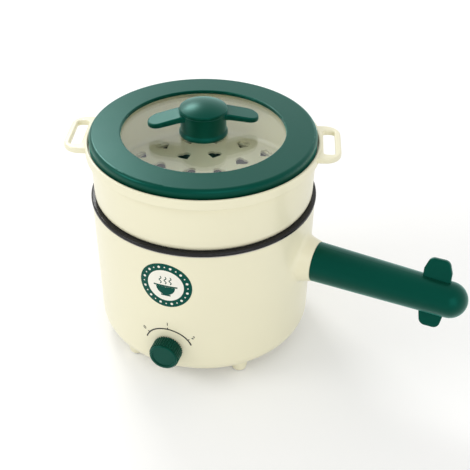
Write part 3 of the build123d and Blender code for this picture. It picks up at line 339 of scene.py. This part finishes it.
def effect(tree, name, vector, **values):
    """Place an effect group in a material, building it the first time."""
    group = bpy.data.node_groups.get(name) or EFFECTS[name]()
    node = tree.nodes.new("ShaderNodeGroup")
    node.node_tree = group
    tree.links.new(vector, node.inputs["Vector"])
    for label, value in values.items():
        node.inputs[label.replace("_", " ")].default_value = value
    return node


# Finishes


def blank_finish(name):
    """A new material with a Principled shader and its Object coordinates."""
    material = bpy.data.materials.new(name)
    material.use_nodes = True
    tree = material.node_tree
    shader = tree.nodes["Principled BSDF"]
    place = tree.nodes.new("ShaderNodeTexCoord").outputs["Object"]
    return material, tree, shader, place


def bump(tree, shader, height, depth, strength=0.5):
    node = tree.nodes.new("ShaderNodeBump")
    set_sockets(node, {"Strength": strength, "Distance": depth})
    tree.links.new(height, node.inputs["Height"])
    tree.links.new(node.outputs["Normal"], shader.inputs["Normal"])


def two_tones(tree, place, colour, deep, drift):
    """A colour that drifts to a deep share of itself, in patches of a scale."""
    red, green, blue = colour[:3]
    deep_tone = (red * deep, green * deep, blue * deep, 1.0)
    node = effect(tree, "tone_drift", place, Scale=drift, Light_tone=colour, Deep_tone=deep_tone)
    return node.outputs["Color"]


def surface_finish(
    name, colour, *, deep, smooth, rough, grain=2200.0, drift=14.0, depth=0.00002, metallic=0.0, coat=0.0
):
    """A solid finish: two close tones, a roughness from smooth to rough and a fine grain.

    Grain and drift are the scales of the grain and of the tones' patches, and depth is the grain's
    height in metres.
    """
    if name in bpy.data.materials:
        return bpy.data.materials[name]
    material, tree, shader, place = blank_finish(name)
    skin = effect(tree, "moulded_grain", place, Grain_scale=grain, Smooth=smooth, Rough=rough)
    tree.links.new(two_tones(tree, place, colour, deep, drift), shader.inputs["Base Color"])
    tree.links.new(skin.outputs["Roughness"], shader.inputs["Roughness"])
    bump(tree, shader, skin.outputs["Height"], depth)
    set_sockets(shader, {"Metallic": metallic, "Coat Weight": coat, "Coat Roughness": 0.12})
    return material


def set_sheen(material, level, fuzz):
    """Tint a green finish's soft shine and set how strong it is, straight on and at a slant."""
    tint = settings().colours.sheen
    shader = material.node_tree.nodes["Principled BSDF"]
    set_sockets(shader, {"Specular Tint": tint, "Specular IOR Level": level})
    set_sockets(shader, {"Sheen Tint": tint, "Sheen Weight": fuzz, "Sheen Roughness": 0.4})
    return material


def cream_moulding():
    cream = settings().colours.cream
    return surface_finish(
        "cream_moulding", cream, deep=0.985, smooth=0.28, rough=0.34, depth=0.00001, coat=0.2
    )


def green_moulding():
    green = settings().colours.green
    material = surface_finish(
        "green_moulding", green, deep=0.86, smooth=0.28, rough=0.36, grain=2600.0, depth=0.00003
    )
    return set_sheen(material, level=0.42, fuzz=0.3)


def nonstick_coating():
    """Dark coating with fine grey flecks inside, and a polished band on the rim above."""
    name = "nonstick_coating"
    if name in bpy.data.materials:
        return bpy.data.materials[name]
    colours = settings().colours
    material, tree, shader, place = blank_finish(name)
    tone = two_tones(tree, place, colours.coating, deep=0.8, drift=30.0)
    flecks = effect(tree, "speckle", place, Scale=620.0)
    skin = effect(tree, "moulded_grain", place, Grain_scale=1500.0, Smooth=0.42, Rough=0.56)
    height = tree.nodes.new("ShaderNodeSeparateXYZ")
    tree.links.new(place, height.inputs["Vector"])
    rim = spread(tree, height.outputs["Z"], RIM_TOP - RIM_POLISH_START, RIM_TOP - RIM_POLISH_FULL, 0.0, 1.0)
    speckled = mix(tree, flecks.outputs["Mask"], tone, colours.fleck)
    polish = mix(tree, rim, skin.outputs["Roughness"], 0.16, kind="FLOAT")
    tree.links.new(mix(tree, rim, speckled, colours.rim), shader.inputs["Base Color"])
    tree.links.new(polish, shader.inputs["Roughness"])
    set_sockets(shader, {"Specular IOR Level": 0.22})
    bump(tree, shader, skin.outputs["Height"], depth=0.00002)
    return material


def clear_glass():
    name = "clear_glass"
    if name in bpy.data.materials:
        return bpy.data.materials[name]
    material, tree, shader, place = blank_finish(name)
    smears = effect(
        tree, "moulded_grain", place, Grain_scale=400.0, Smudge_scale=18.0, Smooth=0.0, Rough=0.03
    )
    tree.links.new(smears.outputs["Roughness"], shader.inputs["Roughness"])
    set_sockets(shader, {"Base Color": settings().colours.glass, "Transmission Weight": 1.0})
    set_sockets(shader, {"IOR": 1.46, "Specular IOR Level": 0.2})
    return material


def steel():
    colour = settings().colours.steel
    return surface_finish(
        "plated_steel", colour, deep=0.85, smooth=0.24, rough=0.40, grain=700.0, drift=60.0, metallic=1.0
    )


def cast_aluminium():
    colour = settings().colours.aluminium
    return surface_finish(
        "cast_aluminium", colour, deep=0.85, smooth=0.38, rough=0.55, grain=500.0, drift=40.0, metallic=1.0
    )


def brass():
    colour = settings().colours.brass
    return surface_finish(
        "turned_brass", colour, deep=0.85, smooth=0.22, rough=0.38, grain=900.0, drift=70.0, metallic=1.0
    )


def pale_silicone():
    colour = settings().colours.silicone
    return surface_finish(
        "pale_silicone", colour, deep=0.92, smooth=0.52, rough=0.68, grain=1800.0, depth=0.00003
    )


def grey_rubber():
    colour = settings().colours.rubber
    return surface_finish(
        "grey_rubber", colour, deep=0.85, smooth=0.62, rough=0.80, grain=1500.0, depth=0.00005
    )


def black_moulding():
    colour = settings().colours.black
    return surface_finish(
        "black_moulding", colour, deep=0.75, smooth=0.40, rough=0.55, grain=2000.0, depth=0.00003
    )


def white_heatproof():
    colour = settings().colours.white
    return surface_finish("white_heatproof", colour, deep=0.92, smooth=0.40, rough=0.55, grain=1400.0)


def lead_sleeve():
    colour = settings().colours.sleeve
    return surface_finish(
        "lead_sleeve", colour, deep=0.80, smooth=0.55, rough=0.72, grain=1600.0, depth=0.00005
    )


def badge_green():
    colour = settings().colours.badge_green
    material = surface_finish("badge_green", colour, deep=0.90, smooth=0.34, rough=0.44, grain=1800.0)
    return set_sheen(material, level=0.3, fuzz=0.0)


def badge_cream():
    colour = settings().colours.badge_cream
    return surface_finish("badge_cream", colour, deep=0.97, smooth=0.28, rough=0.38, grain=1800.0)


def dial_ink():
    colour = settings().colours.print_ink
    return surface_finish("dial_ink", colour, deep=0.80, smooth=0.40, rough=0.52, grain=1800.0)


def studio_floor():
    """Pale floor that keeps the shadow near the cooker and turns white further out."""
    material, tree, shader, place = blank_finish("studio_floor")
    set_sockets(shader, {"Base Color": settings().colours.floor})
    set_sockets(shader, {"Roughness": 0.7, "Specular IOR Level": 0.1})
    away = tree.nodes.new("ShaderNodeVectorMath")
    away.operation = "LENGTH"
    tree.links.new(place, away.inputs[0])
    level = spread(tree, away.outputs["Value"], *FLOOR_FADE, *FLOOR_GLOW)
    glow = tree.nodes.new("ShaderNodeEmission")
    strength = spread(tree, seen_directly(tree), 0.0, 1.0, 0.0, level)
    tree.links.new(strength, glow.inputs["Strength"])
    both = tree.nodes.new("ShaderNodeAddShader")
    tree.links.new(shader.outputs["BSDF"], both.inputs[0])
    tree.links.new(glow.outputs["Emission"], both.inputs[1])
    tree.links.new(both.outputs["Shader"], tree.nodes["Material Output"].inputs["Surface"])
    return material


def dress(material, *nodes):
    """Give CAD nodes a finish."""
    for name in nodes:
        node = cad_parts[name]
        node.data.materials.clear()
        node.data.materials.append(material)


# Print on the casing's curved front: drawn flat, then wrapped


def casing_radius(height):
    sizes = settings().sizes
    fall = (SHELL_HIGH.z - height) / (SHELL_HIGH.z - CASING_FOOT)
    return sizes.casing_top_radius - sizes.casing_taper * fall


def wrap_on_casing(bm, middle_height):
    """Flat x, y and lift z become a place on the casing's front, with the middle at a height."""
    for vertex in bm.verts:
        height = middle_height + vertex.co.y
        reach = sqrt(casing_radius(height) ** 2 - vertex.co.x**2)
        vertex.co = Vector((vertex.co.x, -reach - vertex.co.z, height))


def printed_piece(name, bm, middle_height, material):
    """Wrap a flat bmesh on the casing and make it a piece that rides with the cooker."""
    wrap_on_casing(bm, middle_height)
    bmesh.ops.remove_doubles(bm, verts=bm.verts, dist=MERGE_DISTANCE)
    bmesh.ops.recalc_face_normals(bm, faces=bm.faces)
    mesh = bpy.data.meshes.new(name)
    bm.to_mesh(mesh)
    bm.free()
    mesh.materials.append(material)
    piece = bpy.data.objects.new(name, mesh)
    bpy.context.scene.collection.objects.link(piece)
    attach(piece, "cooker")


def raise_faces(bm, faces, lift):
    """Give flat faces a thickness, so that they stand on the casing."""
    made = bmesh.ops.extrude_face_region(bm, geom=faces)
    top = [item for item in made["geom"] if isinstance(item, bmesh.types.BMVert)]
    bmesh.ops.translate(bm, verts=top, vec=(0, 0, lift))


def faces_of(verts):
    return list({face for vert in verts for face in vert.link_faces})


def swept_band(inner, outer, start, end, lift, steps, rings=1):
    """A new bmesh with a raised band round the middle, from one angle to another."""
    bm = bmesh.new()
    turn = Matrix.Rotation(start, 4, "Z")
    ends = [bm.verts.new(turn @ Vector((radius, 0, 0))) for radius in (inner, outer)]
    edge = bm.edges.new(ends)
    if rings > 1:
        bmesh.ops.subdivide_edges(bm, edges=[edge], cuts=rings - 1)
    bmesh.ops.spin(
        bm,
        geom=[*bm.verts, *bm.edges],
        cent=(0, 0, 0),
        axis=(0, 0, 1),
        angle=end - start,
        steps=steps,
        use_merge=isclose(end - start, 2 * pi),
    )
    raise_faces(bm, list(bm.faces), lift)
    return bm


def add_dot(bm, x, y, radius, lift, segments=12):
    place = Matrix.Translation((x, y, 0))
    made = bmesh.ops.create_circle(bm, cap_ends=True, segments=segments, radius=radius, matrix=place)
    raise_faces(bm, faces_of(made["verts"]), lift)


def add_bar(bm, length, width, angle, distance, lift, cuts=1):
    """A raised bar that points away from the middle, cut across so that it follows the casing."""
    verts = bmesh.ops.create_grid(bm, x_segments=1, y_segments=cuts, size=0.5)["verts"]
    bmesh.ops.scale(bm, verts=verts, vec=(length, width, 1))
    bmesh.ops.translate(bm, verts=verts, vec=(distance, 0, 0))
    bmesh.ops.rotate(bm, verts=verts, cent=(0, 0, 0), matrix=Matrix.Rotation(angle, 3, "Z"))
    raise_faces(bm, faces_of(verts), lift)


def add_curve(bm, curve, place):
    """Make a curve or a text a mesh, apply its place, add it to a bmesh and give its faces."""
    carrier = bpy.data.objects.new(curve.name, curve)
    bpy.context.scene.collection.objects.link(carrier)
    bpy.context.view_layer.update()
    mesh = bpy.data.meshes.new_from_object(carrier)
    mesh.transform(place)
    before = set(bm.faces)
    bm.from_mesh(mesh)
    bpy.data.meshes.remove(mesh)
    bpy.data.objects.remove(carrier)
    bpy.data.curves.remove(curve)
    return [face for face in bm.faces if face not in before]


def add_line(bm, points, width, lift):
    """A smooth line of print along a few control points, as a low rounded bead."""
    curve = bpy.data.curves.new("print_line", "CURVE")
    curve.dimensions = "3D"
    curve.bevel_depth = width / 2
    curve.bevel_resolution = 2
    curve.use_fill_caps = True
    curve.resolution_u = 8
    spline = curve.splines.new("NURBS")
    spline.points.add(len(points) - 1)
    for point, (x, y) in zip(spline.points, points):
        point.co = (x, y, 0, 1)
    spline.order_u = 3
    spline.use_endpoint_u = True
    add_curve(bm, curve, Matrix.Diagonal((1, 1, 2 * lift / width, 1)))


def add_number(bm, words, size, x, y, turn, lift):
    """A plain number, raised on the casing."""
    text = bpy.data.curves.new("number", "FONT")
    text.body = words
    text.size = size
    text.align_x = "CENTER"
    text.align_y = "CENTER"
    faces = add_curve(bm, text, Matrix.Translation((x, y, 0)) @ Matrix.Rotation(turn, 4, "Z"))
    raise_faces(bm, faces, lift)


# Operators: one for each group of pieces


class COOKER_OT_casing(bpy.types.Operator):
    """Finish the casing, its base, feet and seal"""

    bl_idname = "cooker.casing"
    bl_label = "Casing"

    def execute(self, context):
        dress(cream_moulding(), "outer_shell", "base_cover")
        dress(grey_rubber(), "foot_pads")
        dress(steel(), "base_screws")
        dress(pale_silicone(), "rim_seal")
        return {"FINISHED"}


class COOKER_OT_pot(bpy.types.Operator):
    """Finish the pot with its coating and polished rim"""

    bl_idname = "cooker.pot"
    bl_label = "Pot"

    def execute(self, context):
        dress(nonstick_coating(), "inner_pot")
        return {"FINISHED"}


class COOKER_OT_heater(bpy.types.Operator):
    """Finish the heater, its guards and its leads"""

    bl_idname = "cooker.heater"
    bl_label = "Heater"

    def execute(self, context):
        dress(cast_aluminium(), "heater_plate", "heat_shield")
        dress(steel(), "heating_tube", "pot_studs", "stud_sleeves", "stud_nuts")
        dress(steel(), "thermostat_bracket", "fuse_clip", "heater_screws")
        dress(white_heatproof(), "thermostat", "thermal_fuse")
        dress(lead_sleeve(), "lead_wires")
        return {"FINISHED"}


class COOKER_OT_control(bpy.types.Operator):
    """Finish the knob and the switch behind it"""

    bl_idname = "cooker.control"
    bl_label = "Control"

    def execute(self, context):
        dress(green_moulding(), "control_knob")
        dress(white_heatproof(), "switch_shaft")
        dress(black_moulding(), "rotary_switch", "switch_cover")
        dress(brass(), "switch_tabs", "switch_nut")
        return {"FINISHED"}


class COOKER_OT_inlet(bpy.types.Operator):
    """Finish the appliance inlet at the back"""

    bl_idname = "cooker.inlet"
    bl_label = "Inlet"

    def execute(self, context):
        dress(black_moulding(), "inlet_housing")
        dress(brass(), "inlet_pins")
        dress(steel(), "inlet_screws")
        return {"FINISHED"}


class COOKER_OT_handle(bpy.types.Operator):
    """Finish the handle and what holds it"""

    bl_idname = "cooker.handle"
    bl_label = "Handle"

    def execute(self, context):
        dress(green_moulding(), "handle_grip", "handle_wings")
        dress(steel(), "handle_bolt", "handle_washer")
        dress(brass(), "handle_insert")
        return {"FINISHED"}


class COOKER_OT_steamer(bpy.types.Operator):
    """Finish the steamer and its perforated plate"""

    bl_idname = "cooker.steamer"
    bl_label = "Steamer"

    def execute(self, context):
        dress(cream_moulding(), "steamer_basket", "steam_plate")
        return {"FINISHED"}


class COOKER_OT_lid(bpy.types.Operator):
    """Finish the lid: ring, glass and knob"""

    bl_idname = "cooker.lid"
    bl_label = "Lid"

    def execute(self, context):
        dress(green_moulding(), "lid_ring", "lid_knob_stem", "lid_wings", "lid_knob_cap")
        dress(clear_glass(), "lid_glass")
        # The glass casts no shadow, so that light falls through it into the steamer
        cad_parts["lid_glass"].visible_shadow = False
        dress(pale_silicone(), "lid_gasket")
        dress(steel(), "lid_washer", "lid_screw")
        return {"FINISHED"}


class COOKER_OT_badge(bpy.types.Operator):
    """Make the round badge: green band with dots, cream face with a steaming bowl"""

    bl_idname = "cooker.badge"
    bl_label = "Badge"

    def execute(self, context):
        sizes = settings().sizes
        inner, outer = sizes.badge_face_radius, sizes.badge_radius
        lift, height = sizes.print_lift, sizes.badge_height
        band = swept_band(inner, outer, 0, 2 * pi, lift, steps=96, rings=4)
        face = swept_band(DISC_EYE, inner, 0, 2 * pi, lift * FACE_LIFT, steps=64, rings=8)
        dots = self.ring_of_dots((inner + outer) / 2, lift * MARK_LIFT)
        motif = self.steaming_bowl(lift * MARK_LIFT)
        printed_piece("badge_band", band, height, badge_green())
        printed_piece("badge_face", face, height, badge_cream())
        printed_piece("badge_dots", dots, height, badge_cream())
        printed_piece("badge_motif", motif, height - BOWL_DROP, badge_green())
        return {"FINISHED"}

    def ring_of_dots(self, reach, lift):
        bm = bmesh.new()
        for index in range(DOT_COUNT):
            angle = 2 * pi * index / DOT_COUNT
            add_dot(bm, reach * cos(angle), reach * sin(angle), DOT_RADII[index % 2], lift)
        return bm

    def steaming_bowl(self, lift):
        bm = swept_band(DISC_EYE, BOWL_RADIUS, pi, 2 * pi, lift, steps=32, rings=6)
        add_bar(bm, BOWL_BAR, BOWL_RIM_WIDTH, pi / 2, BOWL_RIM_RISE, lift, cuts=16)
        add_bar(bm, BOWL_BAR, BOWL_FOOT_WIDTH, -pi / 2, BOWL_FOOT_FALL, lift, cuts=8)
        for x in (-STEAM_STEP, 0.0, STEAM_STEP):
            add_line(bm, [(x + sway, rise) for sway, rise in STEAM_WISP], STEAM_WIDTH, lift)
        return bm


class COOKER_OT_dial(bpy.types.Operator):
    """Print the knob's scale: an arc, three ticks and plain numbers"""

    bl_idname = "cooker.dial"
    bl_label = "Dial"

    def execute(self, context):
        sizes = settings().sizes
        lift, radius, half_line = sizes.print_lift, sizes.dial_radius, sizes.dial_line / 2
        start, end = radians(DIAL_START), radians(DIAL_END)
        scale = swept_band(radius - half_line, radius + half_line, start, end, lift, steps=72)
        numbers = bmesh.new()
        reach = radius + NUMBER_SET_OFF
        for words, degrees in DIAL_SETTINGS:
            angle = radians(degrees)
            lean = (angle - pi / 2) * NUMBER_LEAN
            add_bar(scale, TICK_LENGTH, TICK_WIDTH, angle, radius + TICK_SET_OFF, lift)
            add_number(numbers, words, sizes.number_size, reach * cos(angle), reach * sin(angle), lean, lift)
        printed_piece("dial_scale", scale, sizes.knob_height, dial_ink())
        printed_piece("dial_numbers", numbers, sizes.knob_height, dial_ink())
        return {"FINISHED"}


class COOKER_OT_stage(bpy.types.Operator):
    """Set up the floor, the light and the camera"""

    bl_idname = "cooker.stage"
    bl_label = "Stage"

    def execute(self, context):
        stage = settings().stage
        context.scene.view_settings.view_transform = "Standard"
        self.make_floor()
        self.make_world(stage.ambient)
        self.soft_box("key_box", KEY_PLACE, KEY_SIZE, stage.key)
        self.soft_box("overhead_box", OVERHEAD_PLACE, OVERHEAD_SIZE, stage.overhead)
        self.soft_box("fill_box", FILL_PLACE, FILL_SIZE, stage.fill)
        self.make_camera(stage)
        return {"FINISHED"}

    def make_floor(self):
        bm = bmesh.new()
        bmesh.ops.create_grid(bm, x_segments=8, y_segments=8, size=FLOOR_REACH)
        mesh = bpy.data.meshes.new("floor")
        bm.to_mesh(mesh)
        bm.free()
        mesh.materials.append(studio_floor())
        floor = bpy.data.objects.new("floor", mesh)
        bpy.context.scene.collection.objects.link(floor)

    def make_world(self, ambient):
        """White where it is seen, and softer as light on the cooker."""
        world = bpy.data.worlds.new("studio")
        bpy.context.scene.world = world
        world.use_nodes = True
        tree = world.node_tree
        sky = tree.nodes["Background"]
        sky.inputs["Color"].default_value = (1.0, 1.0, 1.0, 1.0)
        strength = spread(tree, seen_directly(tree), 0.0, 1.0, ambient, 1.0)
        tree.links.new(strength, sky.inputs["Strength"])

    def soft_box(self, name, place, size, watts):
        """A square lamp that points at the middle of the pot's rim."""
        lamp = bpy.data.lights.new(name, "AREA")
        lamp.shape = "SQUARE"
        lamp.size = size
        lamp.energy = watts
        box = bpy.data.objects.new(name, lamp)
        bpy.context.scene.collection.objects.link(box)
        aim = Vector((0, 0, RIM_TOP)) - Vector(place)
        facing = aim.to_track_quat("-Z", "Y").to_matrix().to_4x4()
        box.matrix_world = Matrix.Translation(place) @ facing

    def make_camera(self, stage):
        """A camera aimed at the middle of the pot's rim, then turned by its yaw, pitch and roll."""
        around = Quaternion((0, 0, 1), stage.azimuth)
        out = around @ Vector((0, -cos(stage.elevation), sin(stage.elevation)))
        right = around @ Vector((1, 0, 0))
        ahead = -out
        up = right.cross(ahead)
        turn = Quaternion(up, stage.yaw)
        right, ahead = turn @ right, turn @ ahead
        tilt = Quaternion(right, stage.pitch)
        up, ahead = tilt @ up, tilt @ ahead
        lean = Quaternion(ahead, stage.roll)
        right, up = lean @ right, lean @ up
        data = bpy.data.cameras.new("photo_camera")
        data.lens = stage.lens
        data.sensor_width = SENSOR_WIDTH
        camera = bpy.data.objects.new("photo_camera", data)
        bpy.context.scene.collection.objects.link(camera)
        place = Vector((0, 0, RIM_TOP)) + out * stage.distance
        facing = Matrix((right, up, -ahead)).transposed().to_4x4()
        camera.matrix_world = Matrix.Translation(place) @ facing
        bpy.context.scene.camera = camera


OPERATORS = (
    COOKER_OT_stage,
    COOKER_OT_casing,
    COOKER_OT_pot,
    COOKER_OT_heater,
    COOKER_OT_control,
    COOKER_OT_inlet,
    COOKER_OT_handle,
    COOKER_OT_steamer,
    COOKER_OT_lid,
    COOKER_OT_badge,
    COOKER_OT_dial,
)


class COOKER_PT_panel(bpy.types.Panel):
    """Lists the steps and their settings"""

    bl_idname = "COOKER_PT_panel"
    bl_label = "Electric cooker"
    bl_space_type = "VIEW_3D"
    bl_region_type = "UI"
    bl_category = "Cooker"

    def draw(self, context):
        for operator in OPERATORS:
            self.layout.operator(operator.bl_idname)
        cooker = context.scene.cooker
        for group in (cooker.colours, cooker.sizes, cooker.stage):
            column = self.layout.column(align=True)
            for name in group.__annotations__:
                column.prop(group, name)


CLASSES = (CookerColours, CookerSizes, CookerStage, CookerSettings, *OPERATORS, COOKER_PT_panel)


def register():
    for item in CLASSES:
        bpy.utils.register_class(item)
    bpy.types.Scene.cooker = bpy.props.PointerProperty(type=CookerSettings)


def unregister():
    del bpy.types.Scene.cooker
    for item in reversed(CLASSES):
        bpy.utils.unregister_class(item)


def main():
    register()
    for operator in OPERATORS:
        group, name = operator.bl_idname.split(".")
        getattr(getattr(bpy.ops, group), name)()


if __name__ == "__main__":
    main()
